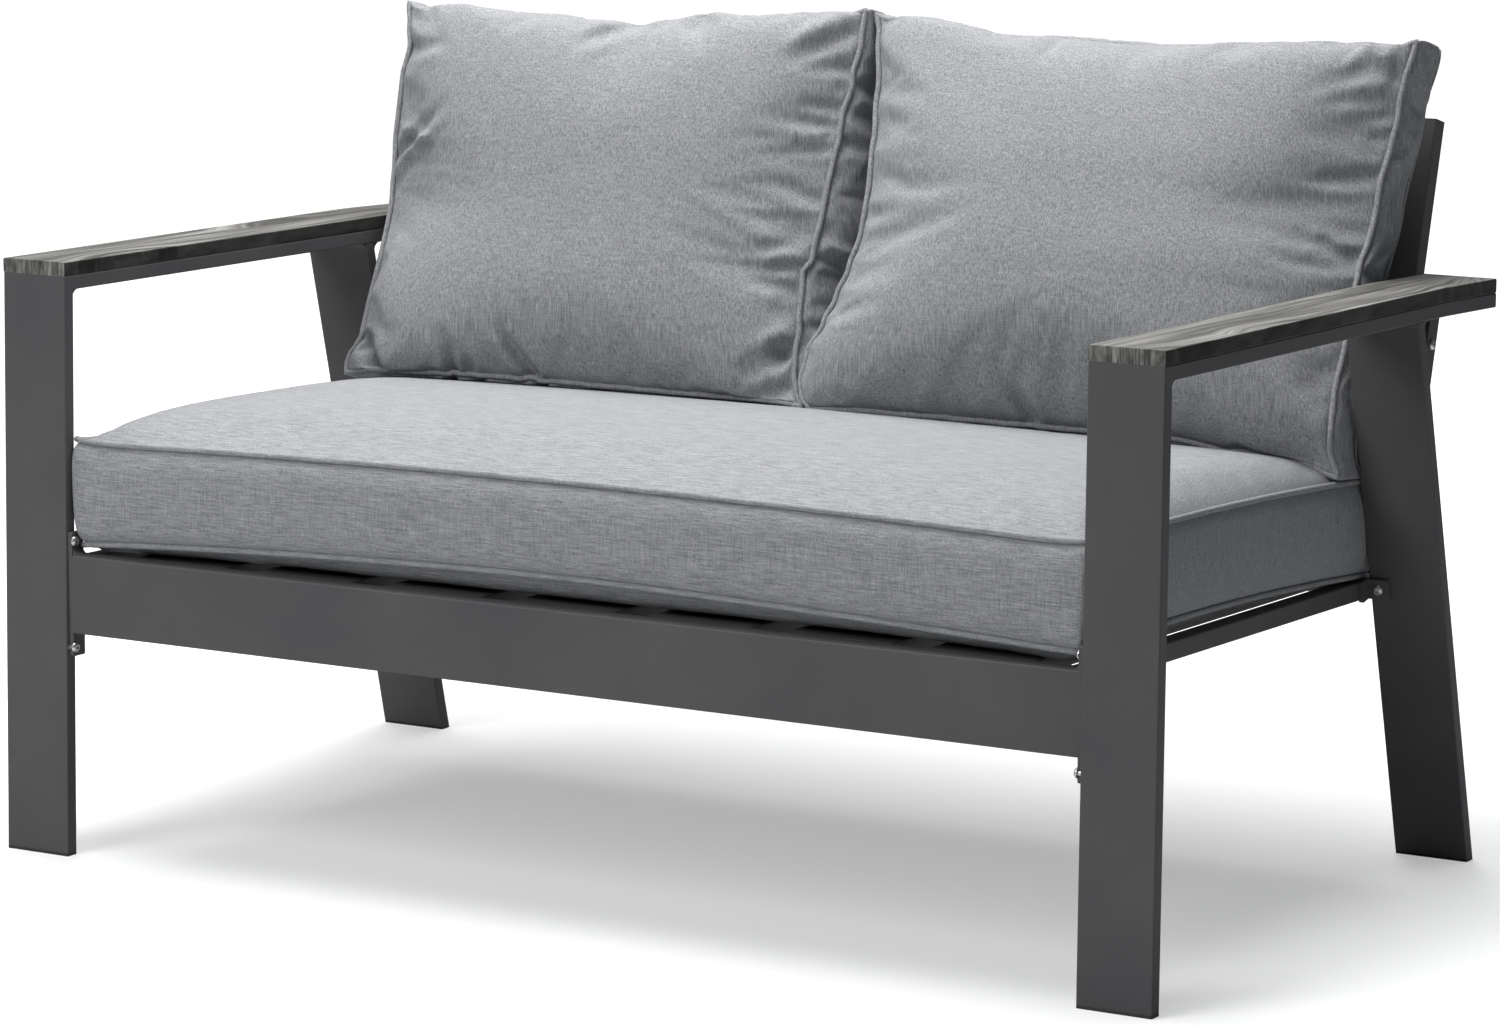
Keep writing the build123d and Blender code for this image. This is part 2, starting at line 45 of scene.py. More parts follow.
def put(tree, kind, sockets=(), **settings):
    """Adds a shader node. A socket takes a number, a colour or another node's output."""
    made = tree.nodes.new(kind)
    for name, value in settings.items():
        setattr(made, name, value)
    for name, value in dict(sockets).items():
        if isinstance(value, bpy.types.NodeSocket):
            tree.links.new(value, made.inputs[name])
        else:
            made.inputs[name].default_value = value
    return made


def ramp(tree, factor, stops):
    """Colour for a factor, from (place, grey or colour) stops."""
    made = put(tree, "ShaderNodeValToRGB", {"Fac": factor})
    while len(made.color_ramp.elements) < len(stops):
        made.color_ramp.elements.new(0.5)
    for element, (place, colour) in zip(made.color_ramp.elements, stops):
        element.position = place
        element.color = (*colour, 1) if isinstance(colour, tuple) else (colour, colour, colour, 1)
    return made.outputs["Color"]


def finish_of(name, **shader):
    """A material, its node tree, its shader and the object's own coordinates."""
    finish = bpy.data.materials.new(name)
    finish.use_nodes = True
    tree = finish.node_tree
    skin = tree.nodes["Principled BSDF"]
    for socket, value in shader.items():
        skin.inputs[socket.replace("_", " ")].default_value = value
    place = put(tree, "ShaderNodeTexCoord").outputs["Object"]
    return finish, tree, skin, place


def noise(tree, place, scale, detail=2.0, rough=0.5, twist=0.0):
    sockets = {"Vector": place, "Scale": scale, "Detail": detail, "Roughness": rough, "Distortion": twist}
    return put(tree, "ShaderNodeTexNoise", sockets).outputs["Fac"]


def span(tree, factor, low, high, start=0.0, end=1.0):
    sockets = {"Value": factor, "From Min": start, "From Max": end, "To Min": low, "To Max": high}
    return put(tree, "ShaderNodeMapRange", sockets).outputs["Result"]


def relief(tree, skin, height, strength, distance):
    sockets = {"Height": height, "Strength": strength, "Distance": distance}
    bump = put(tree, "ShaderNodeBump", sockets)
    tree.links.new(bump.outputs["Normal"], skin.inputs["Normal"])


def dress(finish, *names):
    """Gives the solids of these nodes their finish."""
    for name in names:
        mesh = solids[name].data
        mesh.materials.clear()
        mesh.materials.append(finish)


powder_coat, tree, skin, place = finish_of("powder_coat", Metallic=0.0, Specular_IOR_Level=0.08)
cloud = noise(tree, place, 7.0, 4.0)
tree.links.new(ramp(tree, cloud, [(0.3, (0.079, 0.079, 0.082)), (0.7, (0.095, 0.094, 0.095))]),
               skin.inputs["Base Color"])
tree.links.new(span(tree, noise(tree, place, 60.0, 3.0), 0.42, 0.54), skin.inputs["Roughness"])
relief(tree, skin, noise(tree, place, 1100.0, 1.0), 0.10, 0.0004)

sides = ("left_", "right_")
for side in sides:
    for part in ("front_leg", "rear_leg", "arm_rail", "seat_end_plate", "seat_side_rail",
                 "seat_rear_bracket", "back_upright", "back_tab"):
        dress(powder_coat, side + part)
dress(powder_coat, "seat_front_rail", "seat_rear_rail", "back_top_rail")
for number in range(1, 8):
    dress(powder_coat, f"deck_slat_{number}", f"back_slat_{number}")

# Armrests. One slat lies on each arm rail, screwed from below, with a taupe wood grain: long pale and dark
# lines that run the length of the slat, small knots with arched grain round them, and streaks on the ends.
wood_look, tree, skin, place = finish_of("wood_look", Roughness=0.6, Specular_IOR_Level=0.2)
stretched = put(tree, "ShaderNodeMapping", {"Vector": place, "Scale": (9.0, 3.2, 0.0)}).outputs["Vector"]
knots = put(tree, "ShaderNodeTexVoronoi", {"Vector": stretched, "Scale": 1.0, "Randomness": 0.9},
            distance="EUCLIDEAN").outputs["Distance"]
bend = span(tree, knots, 0.035, 0.0, 0.0, 0.34)
parts = put(tree, "ShaderNodeSeparateXYZ", {"Vector": place}).outputs
wander = span(tree, noise(tree, stretched, 1.6, 2.0), -0.012, 0.012)
shifted = put(tree, "ShaderNodeMath", {0: parts["X"], 1: bend}, operation="ADD").outputs[0]
shifted = put(tree, "ShaderNodeMath", {0: shifted, 1: wander}, operation="ADD").outputs[0]
along = put(tree, "ShaderNodeCombineXYZ", {"X": shifted, "Y": parts["Y"], "Z": parts["Z"]}).outputs["Vector"]
lines = put(tree, "ShaderNodeMapping", {"Vector": along, "Scale": (420.0, 7.0, 60.0)}).outputs["Vector"]
broad = put(tree, "ShaderNodeMapping", {"Vector": along, "Scale": (90.0, 3.0, 40.0)}).outputs["Vector"]
grain = put(tree, "ShaderNodeMath", {0: noise(tree, lines, 1.0, 3.0, 0.6), 1: noise(tree, broad, 1.0, 2.0)},
            operation="ADD").outputs[0]
tone = ramp(tree, span(tree, grain, 0.0, 1.0, 0.6, 1.4), [
    (0.0, (0.020, 0.019, 0.017)), (0.34, (0.070, 0.068, 0.062)), (0.62, (0.165, 0.161, 0.151)),
    (1.0, (0.320, 0.315, 0.300))])
# Painted shade: the slat's long sides, which face left and right, are scaled down to a fifth of the grain colour, so
# they stay darker than the top under any light.
facing = put(tree, "ShaderNodeNewGeometry").outputs["Normal"]
facing = put(tree, "ShaderNodeSeparateXYZ", {"Vector": facing}).outputs
painted_side_shade = put(tree, "ShaderNodeMath", {0: facing["X"]}, operation="ABSOLUTE").outputs[0]
tone = put(tree, "ShaderNodeVectorMath", {0: tone}, operation="SCALE")
tree.links.new(span(tree, painted_side_shade, 1.0, 0.20, 0.35, 0.9), tone.inputs["Scale"])
tree.links.new(tone.outputs["Vector"], skin.inputs["Base Color"])
relief(tree, skin, grain, 0.35, 0.0008)
dress(wood_look, "left_armrest", "right_armrest")

# Bolts, inserts and screws. Bright zinc-plated steel: button heads with a hexagon socket hold the seat and
# back frames in threaded inserts in the legs, and screws hold the armrests from below.
bright_steel, tree, skin, place = finish_of("bright_steel", Metallic=1.0, Roughness=0.28)
tree.links.new(ramp(tree, noise(tree, place, 400.0), [(0.3, 0.50), (0.7, 0.62)]), skin.inputs["Base Color"])
relief(tree, skin, noise(tree, place, 2500.0, 1.0), 0.08, 0.0002)
dress(bright_steel, "seat_front_bolts", "seat_rear_bolts", "back_bolts", "threaded_inserts", "armrest_screws")

# Glides and bushes. Black moulded plastic with a fine matt texture: a glide is pressed into each foot, and a
# bush keeps each upright off its tab.
black_plastic, tree, skin, place = finish_of("black_plastic", Roughness=0.6)
tree.links.new(ramp(tree, noise(tree, place, 300.0), [(0.3, 0.018), (0.7, 0.026)]), skin.inputs["Base Color"])
relief(tree, skin, noise(tree, place, 1800.0, 1.0), 0.15, 0.0003)
dress(black_plastic, "foot_glides", "back_spacers")

# Plugs in the open tube ends. The same kind of moulding in charcoal grey, pressed into the rear ends of the
# arm rails and the tops of the uprights.
grey_plastic, tree, skin, place = finish_of("grey_plastic", Roughness=0.5, Specular_IOR_Level=0.15)
tree.links.new(ramp(tree, noise(tree, place, 250.0), [(0.3, (0.066, 0.066, 0.069)), (0.7, (0.078, 0.078, 0.081))]),
               skin.inputs["Base Color"])
relief(tree, skin, noise(tree, place, 1500.0, 1.0), 0.12, 0.0003)
dress(grey_plastic, "arm_end_caps", "left_back_upright_cap", "right_back_upright_cap")

# Seat cushion. One long box cushion of polyester cloth over foam, loose on the deck. A top and a bottom panel
# are sewn to a border, with piping in both seams. The pressure of the filling domes the panels between the
# seams, and the border is drawn in between the corners.
deck_front = Vector((0, -0.3579, 0.302))
deck_fall = math.radians(2.05)
deck_back = Vector((0, math.cos(deck_fall), -math.sin(deck_fall)))
deck_up = Vector((0, math.sin(deck_fall), math.cos(deck_fall)))
seat_half_width = 0.564
seat_half_depth = 0.284
seat_middle = 0.295
seat_top_seam = 0.1055
seat_foot_seam = 0.0075
seat_crown = 0.024
cloth_gap = 0.0008
seam_groove = 0.0038
piping_radius = 0.0031


def dome(t, power=2.0):
    return 1 - abs(t) ** power


def through(stops, t):
    """Smooth value at t, through (place, value) stops."""
    for (start, low), (end, high) in zip(stops, stops[1:]):
        if t <= end:
            share = max(0.0, (t - start) / (end - start))
            return low + (high - low) * share * share * (3 - 2 * share)
    return stops[-1][1]


def sewn_box(name, cells, shape):
    """A box of square cells, with the points of its border and of its two seams in order round.

    shape moves each point of a cube from -1 to 1, whose Z runs from panel to panel.
    """
    box = bmesh.new()
    bmesh.ops.create_cube(box, size=2.0)
    for axis, count in enumerate(cells):
        across = [edge for edge in box.edges if abs(edge.verts[0].co[axis] - edge.verts[1].co[axis]) > 0.5]
        bmesh.ops.subdivide_edges(box, edges=across, cuts=count - 1, use_grid_fill=True)
    box.verts.ensure_lookup_table()
    border = {vert.index for vert in box.verts if abs(vert.co.z) < 0.999}
    seams = []
    for level in (-1, 1):
        seam = [vert for vert in box.verts
                if vert.co.z * level > 0.999 and max(abs(vert.co.x), abs(vert.co.y)) > 0.999]
        seams.append([vert.index for vert in sorted(seam, key=lambda vert: math.atan2(vert.co.y, vert.co.x))])
    sewn = {index for seam in seams for index in seam}
    crease = box.edges.layers.float.new("crease_edge")
    for edge in box.edges:
        edge[crease] = float(edge.verts[0].index in sewn and edge.verts[1].index in sewn)
    for vert in box.verts:
        vert.co = shape(*vert.co)
    bmesh.ops.recalc_face_normals(box, faces=box.faces)
    for index in sewn:
        box.verts[index].co -= box.verts[index].normal * seam_groove
    mesh = bpy.data.meshes.new(name)
    box.to_mesh(mesh)
    box.free()
    piece = bpy.data.objects.new(name, mesh)
    bpy.context.scene.collection.objects.link(piece)
    piece.vertex_groups.new(name="seams").add(sorted(sewn), 1.0, "REPLACE")
    return piece, border, seams


def fill(piece, border, pressure, spare, limit):
    """Blows the cover up from inside, with the seams held, and with spare cloth as a share of its size.

    No point moves further than the limit, and the border, held between two seams, moves less.
    """
    frames = 20
    border_share = 0.4
    cloth = piece.modifiers.new("filling", "CLOTH")
    cloth.settings.quality = 5
    cloth.settings.mass = 0.3
    cloth.settings.bending_stiffness = 0.3
    cloth.settings.use_pressure = True
    cloth.settings.uniform_pressure_force = pressure
    cloth.settings.shrink_min = -spare
    cloth.settings.vertex_group_mass = "seams"
    cloth.settings.effector_weights.gravity = 0
    cloth.point_cache.frame_end = frames
    for frame_number in range(1, frames + 1):
        bpy.context.scene.frame_set(frame_number)
    blown = piece.evaluated_get(bpy.context.evaluated_depsgraph_get()).to_mesh()
    moved = [point.co.copy() for point in blown.vertices]
    piece.modifiers.remove(cloth)
    bpy.context.scene.frame_set(1)
    for point, target in zip(piece.data.vertices, moved):
        step = target - point.co
        reach = limit * (border_share if point.index in border else 1.0)
        point.co += step * (reach * (1 - math.exp(-step.length / reach)) / max(step.length, 1e-9))


def finish_cover(piece, finish):
    for face in piece.data.polygons:
        face.use_smooth = True
    piece.data.materials.append(finish)
    smooth = piece.modifiers.new("smooth", "SUBSURF")
    smooth.levels = smooth.render_levels = 1


def piping(name, cover, seams, finish, proud=0.002):
    """Thin cords sewn into a cover's seams."""
    cord = bpy.data.curves.new(name, "CURVE")
    cord.dimensions = "3D"
    cord.bevel_depth = piping_radius
    cord.bevel_resolution = 2
    for seam in seams:
        line = cord.splines.new("POLY")
        line.points.add(len(seam) - 1)
        for knot, index in zip(line.points, seam):
            point = cover.data.vertices[index]
            knot.co = (*(point.co + point.normal * proud), 1)
        line.use_cyclic_u = True
    holder = bpy.data.objects.new(name, cord)
    bpy.context.scene.collection.objects.link(holder)
    mesh = bpy.data.meshes.new_from_object(holder)
    bpy.data.objects.remove(holder)
    piece = bpy.data.objects.new(name, mesh)
    bpy.context.scene.collection.objects.link(piece)
    for face in mesh.polygons:
        face.use_smooth = True
    mesh.materials.append(finish)
    return piece


def woven(name, upright_share, level_share):
    """Grey heather cloth, dyed in the yarn: light and dark fibres run along the warp and the weft."""
    fine, long = 820.0, 46.0
    cloth, tree, skin, place = finish_of(name, Roughness=0.92, Specular_IOR_Level=0.2)
    fleck = noise(tree, place, 1250.0, 1.0, 0.5)
    upright_yarn = put(tree, "ShaderNodeMapping", {"Vector": place, "Scale": (fine, fine, long)}).outputs["Vector"]
    level_yarn = put(tree, "ShaderNodeMapping", {"Vector": place, "Scale": (long, fine, fine)}).outputs["Vector"]
    for yarn, share in ((upright_yarn, upright_share), (level_yarn, level_share)):
        fibre = noise(tree, yarn, 1.0, 1.0)
        fibre = put(tree, "ShaderNodeMath", {0: fibre, 1: share}, operation="MULTIPLY").outputs[0]
        fleck = put(tree, "ShaderNodeMath", {0: fleck, 1: fibre}, operation="ADD").outputs[0]
    even = span(tree, fleck, 0.0, 1.0, 0.64, 1.64)
    heather = ramp(tree, even, [(0.0, (0.085, 0.087, 0.094)), (0.4, (0.208, 0.212, 0.221)),
                                (0.6, (0.268, 0.272, 0.280)), (1.0, (0.440, 0.440, 0.440))])
    tree.links.new(heather, skin.inputs["Base Color"])
    relief(tree, skin, fleck, 0.35, 0.0006)
    return cloth


seat_fabric = woven("cushion_fabric_level", 0.5, 0.8)
cushion_fabric = woven("cushion_fabric", 0.95, 0.35)


def seat_shape(across, depth, high):
    """Point of the seat cushion: across from left to right, depth from front to rear, high from deck to top."""
    top = seat_top_seam - 0.0065 * depth + dome(across) * (0.007 - 0.002 * depth) + 0.004 * dome(depth)
    foot = seat_foot_seam - 0.0055 * depth + dome(across, 1.6) * (0.008 - 0.0075 * depth) + 0.007 * dome(depth)
    foot -= 0.004 * (max(0.0, -across) * max(0.0, -depth)) ** 4
    lift = (top + foot) / 2 + (top - foot) / 2 * high
    if high > 0:
        lift += dome(across, 30) * dome(depth, 6 if depth < 0 else 3) * seat_crown * high ** 3
        lift += 0.004 * (across * depth) ** 24 * high
    else:
        lift += dome(across, 110) * dome(depth, 50) * (foot - cloth_gap) * high ** 3
    wide = seat_half_width + 0.0062 * dome((1 - high) / 2, 3) - 0.004 * dome(depth) + 0.002 * dome(high, 6)
    run = seat_middle + depth * (seat_half_depth + 0.006 * dome(high, 6) - 0.003 * dome(across))
    return deck_front + Vector((wide * across, 0, 0)) + deck_back * run + deck_up * lift


seat_cushion, border, seams = sewn_box("seat_cushion_cover", cells=(140, 70, 14), shape=seat_shape)
fill(seat_cushion, border, pressure=4.0, spare=0.01, limit=0.008)
for point in seat_cushion.data.vertices:
    sunk = cloth_gap - (point.co - deck_front).dot(deck_up)
    point.co += deck_up * max(0.0, sunk)
finish_cover(seat_cushion, seat_fabric)
seat_piping = piping("seat_cushion_piping", seat_cushion, seams, seat_fabric)
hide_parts("seat_cushion")
for piece in (seat_cushion, seat_piping):
    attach(piece, "seat_cushion")

# Back cushions. Two softer box cushions of the same cloth, loose against the back slats and on the seat
# cushion. They lean back, their upper corners stand up like ears, and their sides draw in between corners.
back_foot = Vector((0, 0.2257, 0.2811))
back_lean = math.radians(17.0)
back_ahead = Vector((0, -math.cos(back_lean), math.sin(back_lean)))
back_up = Vector((0, math.sin(back_lean), math.cos(back_lean)))
half_border = 0.027
front_seam = 0.150
seat_gap = 0.0006
seat_reach = 0.562
arm_room = 0.5722
view_slant = 0.63


def inner_lean(high):
    """How far to the right the rear seams stand in the gap between the two cushions."""
    return 0.024 * dome(min(1.0, abs(high + 0.2) / 0.85), 3)


def back_shape(edges):
    """Shape of one back cushion from its edges, by share of height or width: X, height, and distance ahead."""
    def shape(across, high, ahead):
        share = (across + 1) / 2
        left_x, right_x = through(edges["left_x"], high), through(edges["right_x"], high)
        left_n, right_n = through(edges["left_n"], high), through(edges["right_n"], high)
        top, foot = through(edges["top"], across), through(edges["foot"], across)
        top -= 0.009 * dome(across, 14)
        foot += 0.004 * dome(across, 14)
        x = left_x + (right_x - left_x) * share
        up = (top + foot) / 2 + (top - foot) / 2 * high
        n = left_n + (right_n - left_n) * share - half_border + half_border * ahead
        bow = dome(across, 3) * dome(high, 3)
        puff = max(0.0, dome(across, 10) * dome(high, 6)) ** 0.7
        if ahead > 0:
            n += (bow * (edges["crown"] - 0.012) + puff * 0.012) * ahead ** 3
        else:
            n += bow * (n - 0.002) * ahead ** 3
        if ahead > 0.999:
            for edge, roll in ((1, 0.021), (-1, -0.009)):
                run = max(0.0, 1 - high * edge) * (top - foot) / 2 / 0.018
                up += roll * dome(across, 14) * run * math.exp(1 - run) * (1 + high * edge) / 2
        x += 0.004 * dome(ahead, 4) * across ** 9
        x += inner_lean(high) * (1 - ahead) / 2 * max(0.0, across * edges["inner"]) ** 5
        up += (0.002 if high > 0 else 0.014 * dome(across, 8)) * dome(ahead, 8) * high ** 9
        return back_foot + Vector((x, 0, 0)) + back_ahead * n + back_up * up
    return shape


def press_folds(piece, held, across, outward, level, slant, folds, strength):
    """Dents or raises a panel along lines: each fold is its half width and its (across, height, depth) stops.

    Places are as seen on a plane at this level, from ahead and by the slant to one side.
    """
    lines = []
    for width, stops in folds:
        for start, end in zip(stops, stops[1:]):
            first, run = Vector(start[:2]), Vector(end[:2]) - Vector(start[:2])
            lines.append((width, first, run, start[2], end[2], first + run / 2, run.length / 2 + 4 * width))
    for point in piece.data.vertices:
        facing = min(1.0, (point.normal.dot(outward) - 0.1) / 0.3)
        if facing <= 0 or point.index in held:
            continue
        offset = point.co - back_foot
        proud = offset.dot(outward) - level
        spot = Vector((offset.dot(across) - slant * proud, offset.dot(back_up) + 0.12 * slant * proud))
        dents = {}
        for width, first, run, low, high, middle, reach in lines:
            if (spot - middle).length < reach:
                part = max(0.0, min(1.0, (spot - first).dot(run) / run.length_squared))
                share = (spot - first - run * part).length / width
                height = low + (high - low) * part
                height *= math.exp(-share * share) - 0.3 * math.exp(-1.5 * (share - 1.9) ** 2)
                key = (width, round(middle.y, 1))
                if abs(height) > abs(dents.get(key, 0.0)):
                    dents[key] = height
        point.co += outward * sum(dents.values()) * facing * strength


def rest_clear(cover, side):
    """Keeps a cover off the slats, the seat cushion, the arms and the other back cushion."""
    for point in cover.data.vertices:
        short = cloth_gap - (point.co - back_foot).dot(back_ahead)
        if short > 0:
            point.co += back_ahead * short
        if point.co.z < 0.5:
            over_seat = max(-seat_reach, min(seat_reach, point.co.x))
            under = seat_surface.ray_cast(Vector((over_seat, point.co.y, 1.0)), Vector((0, 0, -1)))[0]
            if under and point.co.z < under.z + seat_gap:
                point.co.z = under.z + seat_gap
        if point.co.z < 0.6:
            point.co.x = max(-arm_room, min(arm_room, point.co.x))
        high = ((point.co - back_foot).dot(back_up) - 0.3) / 0.205
        middle = (through(left_edges["right_x"], high) + through(right_edges["left_x"], high)) / 2
        behind = (front_seam - (point.co - back_foot).dot(back_ahead)) / (2 * half_border)
        middle += inner_lean(high) * max(0.0, min(1.0, behind))
        if side == "left":
            point.co.x = min(point.co.x, middle - cloth_gap)
        else:
            point.co.x = max(point.co.x, middle + cloth_gap)


left_edges = {
    "left_x": [(-1, -0.570), (-0.946, -0.5715), (-0.89, -0.570), (-0.84, -0.564), (-0.79, -0.560), (-0.5, -0.560),
               (-0.1, -0.560), (0.08, -0.563), (0.3, -0.566), (0.6, -0.565), (0.76, -0.560), (0.87, -0.564),
               (1, -0.569)],
    "right_x": [(-1, -0.008), (-0.93, -0.018), (-0.83, -0.0235), (-0.45, -0.027), (-0.33, -0.030), (-0.28, -0.022),
                (0.05, -0.016), (0.45, -0.010), (0.62, -0.005), (0.82, -0.002), (1, -0.003)],
    "left_n": [(-1, 0.157), (0, 0.135), (0.86, 0.144), (1, 0.144)],
    "right_n": [(-1, 0.152), (1, 0.148)],
    "top": [(-1, 0.494), (-0.93, 0.490), (-0.7, 0.4955), (-0.4, 0.494), (-0.12, 0.4895), (0.06, 0.485), (0.2, 0.492),
            (0.38, 0.5015), (0.55, 0.4995), (0.8, 0.503), (1, 0.507)],
    "foot": [(-1, 0.092), (-0.88, 0.095), (-0.3, 0.098), (0.4, 0.098), (1, 0.100)],
    "crown": 0.040,
    "inner": 1,
}
left_folds = [
    (0.010, [(-0.016, 0.501, 0.003), (-0.059, 0.480, 0.005), (-0.100, 0.457, 0.0)]),
    (0.008, [(-0.014, 0.480, -0.003), (-0.055, 0.462, -0.004), (-0.095, 0.443, 0.0)]),
    (0.006, [(-0.006, 0.445, -0.005), (-0.040, 0.443, -0.004), (-0.075, 0.438, 0.0)]),
    (0.005, [(-0.008, 0.400, -0.004), (-0.040, 0.404, -0.003), (-0.066, 0.406, 0.0)]),
    (0.006, [(-0.010, 0.384, -0.004), (-0.050, 0.386, -0.004), (-0.082, 0.390, 0.0)]),
    (0.006, [(-0.012, 0.362, -0.004), (-0.055, 0.360, -0.003), (-0.085, 0.356, 0.0)]),
    (0.007, [(-0.018, 0.306, -0.005), (-0.050, 0.314, -0.004), (-0.085, 0.324, 0.0)]),
    (0.006, [(-0.045, 0.262, 0.0), (-0.070, 0.259, -0.004), (-0.110, 0.254, 0.0)]),
    (0.006, [(-0.024, 0.244, -0.005), (-0.063, 0.238, -0.004), (-0.085, 0.234, 0.0)]),
    (0.007, [(-0.030, 0.214, -0.005), (-0.070, 0.220, -0.004), (-0.100, 0.224, 0.0)]),
    (0.010, [(-0.022, 0.168, -0.006), (-0.045, 0.152, -0.007), (-0.073, 0.139, -0.004), (-0.105, 0.130, 0.0)]),
    (0.006, [(-0.014, 0.123, -0.004), (-0.050, 0.113, -0.004), (-0.085, 0.106, 0.0)]),
    (0.007, [(-0.350, 0.452, 0.0), (-0.315, 0.463, -0.005), (-0.268, 0.479, -0.004), (-0.250, 0.486, 0.0)]),
    (0.006, [(-0.556, 0.302, 0.005), (-0.540, 0.324, 0.006), (-0.516, 0.345, 0.004), (-0.490, 0.372, 0.0)]),
    (0.006, [(-0.556, 0.320, -0.007), (-0.537, 0.345, -0.006), (-0.514, 0.366, -0.003), (-0.490, 0.390, 0.0)]),
    (0.005, [(-0.557, 0.336, -0.004), (-0.553, 0.352, -0.002), (-0.546, 0.366, 0.0)]),
    (0.007, [(-0.560, 0.443, -0.005), (-0.534, 0.443, -0.004), (-0.500, 0.448, 0.0)]),
    (0.006, [(-0.462, 0.152, 0.0), (-0.446, 0.128, -0.008), (-0.439, 0.106, -0.011), (-0.437, 0.084, -0.012)]),
    (0.006, [(-0.392, 0.160, 0.0), (-0.372, 0.138, -0.008), (-0.338, 0.110, -0.012), (-0.322, 0.084, -0.014)]),
    (0.006, [(-0.419, 0.114, -0.005), (-0.401, 0.088, -0.008)]),
    (0.007, [(-0.556, 0.145, 0.0), (-0.552, 0.126, -0.009), (-0.540, 0.104, -0.011), (-0.520, 0.092, -0.004)]),
]
right_edges = {
    "left_x": [(-1, 0.001), (-0.93, -0.0115), (-0.85, -0.0155), (-0.70, -0.0115), (-0.56, 0.001), (-0.42, 0.011),
               (-0.28, 0.020), (-0.1, 0.028), (0.1, 0.029), (0.35, 0.025), (0.6, 0.019), (0.9, 0.009), (1, 0.003)],
    "right_x": [(-1, 0.570), (-0.88, 0.563), (-0.6, 0.561), (-0.2, 0.563), (0.25, 0.566), (0.7, 0.572), (1, 0.582)],
    "left_n": [(-1, 0.155), (0, 0.150), (1, 0.138)],
    "right_n": [(-1, 0.112), (-0.8, 0.124), (-0.2, 0.112), (0.25, 0.096), (0.66, 0.090), (1, 0.094)],
    "top": [(-1, 0.505), (-0.75, 0.505), (-0.46, 0.4985), (-0.25, 0.500), (0.05, 0.4985), (0.43, 0.504), (0.9, 0.508),
            (1, 0.511)],
    "foot": [(-1, 0.097), (0.38, 0.099), (0.6, 0.093), (0.86, 0.089), (1, 0.081)],
    "crown": 0.056,
    "inner": -1,
}
right_folds = [
    (0.010, [(0.470, 0.452, 0.0), (0.515, 0.463, -0.004), (0.548, 0.478, -0.007), (0.580, 0.473, -0.006)]),
    (0.006, [(0.498, 0.438, 0.0), (0.525, 0.445, -0.005), (0.541, 0.446, -0.005), (0.562, 0.443, -0.002)]),
    (0.005, [(0.556, 0.452, -0.002), (0.578, 0.454, -0.004)]),
    (0.005, [(0.535, 0.428, 0.0), (0.558, 0.431, -0.004), (0.575, 0.432, -0.005)]),
    (0.005, [(0.545, 0.411, 0.0), (0.572, 0.412, -0.004)]),
    (0.005, [(0.548, 0.395, 0.0), (0.570, 0.395, -0.004)]),
    (0.008, [(0.490, 0.364, 0.0), (0.520, 0.366, -0.004), (0.540, 0.368, -0.005), (0.568, 0.372, -0.005)]),
    (0.006, [(0.515, 0.318, 0.0), (0.565, 0.317, -0.004)]),
    (0.007, [(0.465, 0.308, 0.0), (0.496, 0.306, -0.004), (0.524, 0.304, -0.006), (0.543, 0.295, -0.008),
             (0.566, 0.294, -0.007)]),
    (0.006, [(0.525, 0.281, 0.0), (0.566, 0.284, -0.004)]),
    (0.006, [(0.520, 0.242, 0.0), (0.564, 0.236, -0.004)]),
    (0.007, [(0.510, 0.180, 0.0), (0.562, 0.186, -0.004)]),
    (0.006, [(0.520, 0.146, 0.0), (0.562, 0.150, -0.005)]),
    (0.007, [(0.184, 0.156, 0.0), (0.206, 0.136, -0.007), (0.232, 0.112, -0.011), (0.246, 0.088, -0.012)]),
    (0.006, [(0.010, 0.118, -0.004), (0.030, 0.108, -0.005), (0.050, 0.104, 0.0)]),
    (0.007, [(0.020, 0.300, -0.004), (0.060, 0.310, 0.0)]),
    (0.007, [(-0.004, 0.200, -0.004), (0.045, 0.214, 0.0)]),
]
right_end_folds = [
    (0.006, [(0.085, 0.492, 0.003), (0.040, 0.462, 0.003)]),
    (0.006, [(0.086, 0.466, -0.004), (0.055, 0.444, -0.003)]),
    (0.007, [(0.092, 0.444, -0.004), (0.060, 0.428, -0.004)]),
    (0.006, [(0.095, 0.424, 0.003), (0.060, 0.401, 0.003)]),
    (0.006, [(0.095, 0.409, -0.005), (0.060, 0.391, -0.004)]),
    (0.007, [(0.106, 0.280, -0.005), (0.085, 0.277, -0.002)]),
]
left_end_folds = [
    (0.007, [(0.147, 0.428, -0.004), (0.110, 0.424, -0.003)]),
    (0.007, [(0.148, 0.372, -0.005), (0.115, 0.366, -0.002)]),
    (0.007, [(0.110, 0.350, -0.004), (0.085, 0.345, -0.003)]),
    (0.006, [(0.150, 0.266, 0.003), (0.115, 0.260, 0.003)]),
    (0.006, [(0.148, 0.252, -0.005), (0.110, 0.248, -0.003)]),
    (0.006, [(0.150, 0.180, -0.004), (0.115, 0.186, -0.003)]),
]
seat_surface = BVHTree.FromObject(seat_cushion, bpy.context.evaluated_depsgraph_get())
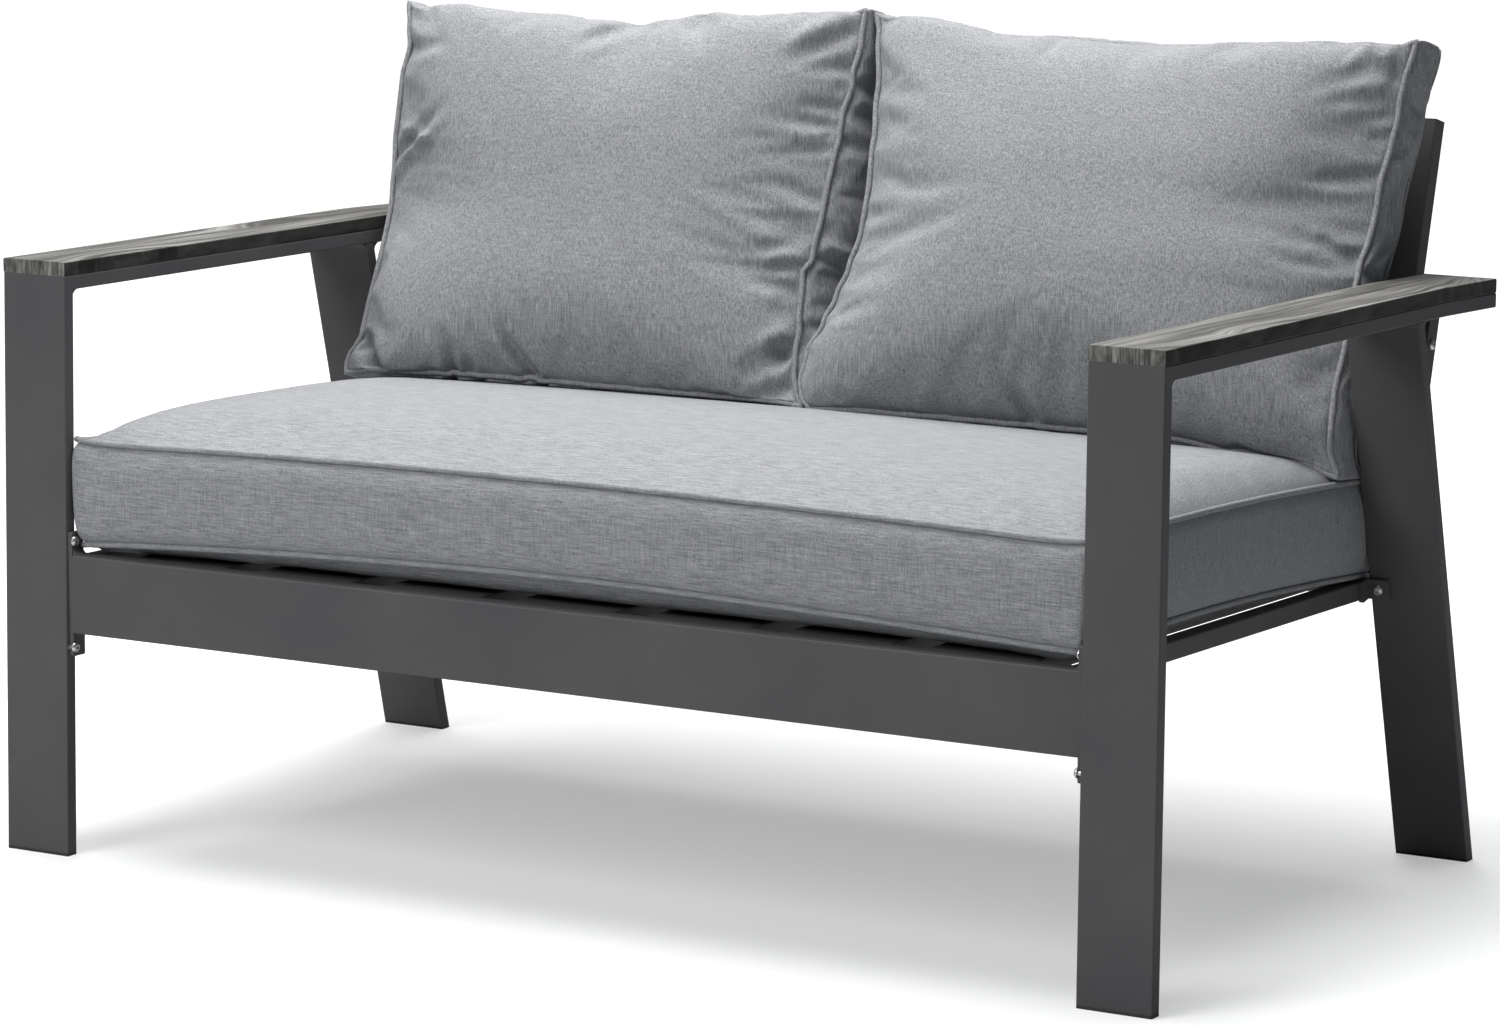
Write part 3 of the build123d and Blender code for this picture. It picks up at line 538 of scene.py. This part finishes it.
for side, edges, folds, end_folds, level, strength in (
        ("left", left_edges, left_folds, left_end_folds, front_seam, 1.35),
        ("right", right_edges, right_folds, right_end_folds, 0.118, 1.0)):
    cover, border, seams = sewn_box(f"{side}_back_cushion_cover", cells=(110, 80, 10), shape=back_shape(edges))
    fill(cover, border, pressure=4.0, spare=0.03, limit=0.020)
    held = set(seams[0] + seams[1])
    press_folds(cover, held, Vector((1, 0, 0)), back_ahead, level, view_slant, folds, strength)
    press_folds(cover, held, back_ahead, Vector((1, 0, 0)), 0.0, 0.0, end_folds, strength)
    rest_clear(cover, side)
    finish_cover(cover, cushion_fabric)
    trim = piping(f"{side}_back_cushion_piping", cover, seams, cushion_fabric)
    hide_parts(f"{side}_back_cushion")
    for piece in (cover, trim):
        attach(piece, f"{side}_back_cushion")

# Studio. A plain white floor whose glow is seen but lights nothing, as under a lit backdrop, one wide soft light
# overhead and one from the front left. The camera is a long lens a little above the back, right of the front.
bpy.ops.mesh.primitive_plane_add(size=60)
floor = bpy.context.object
floor.name = "studio_floor"
floor_finish, tree, skin, place = finish_of("studio_floor", Roughness=0.95, Specular_IOR_Level=0.1)
tree.links.new(ramp(tree, noise(tree, place, 3.0), [(0.0, 0.61), (1.0, 0.63)]), skin.inputs["Base Color"])
skin.inputs["Emission Color"].default_value = (1, 1, 1, 1)
distance = put(tree, "ShaderNodeVectorMath", {0: place}, operation="LENGTH").outputs["Value"]
glow = span(tree, distance, 0.40, 0.95, 0.7, 3.4)
seen = put(tree, "ShaderNodeLightPath").outputs["Is Camera Ray"]
glow = put(tree, "ShaderNodeMath", {0: glow, 1: seen}, operation="MULTIPLY").outputs[0]
tree.links.new(glow, skin.inputs["Emission Strength"])
floor.data.materials.append(floor_finish)

scene = bpy.context.scene
scene.view_settings.view_transform = "Standard"
surround = bpy.data.worlds.new("surround")
scene.world = surround
surround.use_nodes = True
surround.node_tree.nodes["Background"].inputs["Color"].default_value = (0.86, 0.93, 1.0, 1)
surround.node_tree.nodes["Background"].inputs["Strength"].default_value = 0.14


def soft_light(name, power, size, at, towards):
    lamp = bpy.data.lights.new(name, "AREA")
    lamp.energy = power
    lamp.shape = "RECTANGLE"
    lamp.size, lamp.size_y = size
    holder = bpy.data.objects.new(name, lamp)
    scene.collection.objects.link(holder)
    holder.location = at
    holder.rotation_euler = (Vector(towards) - Vector(at)).to_track_quat("-Z", "Y").to_euler()


soft_light("overhead", power=162.0, size=(2.0, 2.6), at=(-0.35, 0.25, 3.0), towards=(-0.1, 0.05, 0.4))
soft_light("front_left", power=115.0, size=(2.4, 2.4), at=(-1.5, -3.6, 3.1), towards=(0.0, 0.0, 0.45))

turn, tilt, roll = math.radians(32.68), math.radians(10.74), math.radians(-1.02)
ahead = Vector((-math.sin(turn) * math.cos(tilt), math.cos(turn) * math.cos(tilt), -math.sin(tilt)))
sideways = Vector((math.cos(turn), math.sin(turn), 0))
upwards = sideways.cross(ahead)
right = math.cos(roll) * sideways + math.sin(roll) * upwards
above = -math.sin(roll) * sideways + math.cos(roll) * upwards
lens = bpy.data.cameras.new("camera")
lens.sensor_fit = "HORIZONTAL"
lens.sensor_width = 36.0
lens.lens = 137.76
camera = bpy.data.objects.new("camera", lens)
scene.collection.objects.link(camera)
camera.matrix_world = (Matrix.Translation((2.995, -4.6727, 1.387))
                       @ Matrix((right, above, -ahead)).transposed().to_4x4())
scene.camera = camera
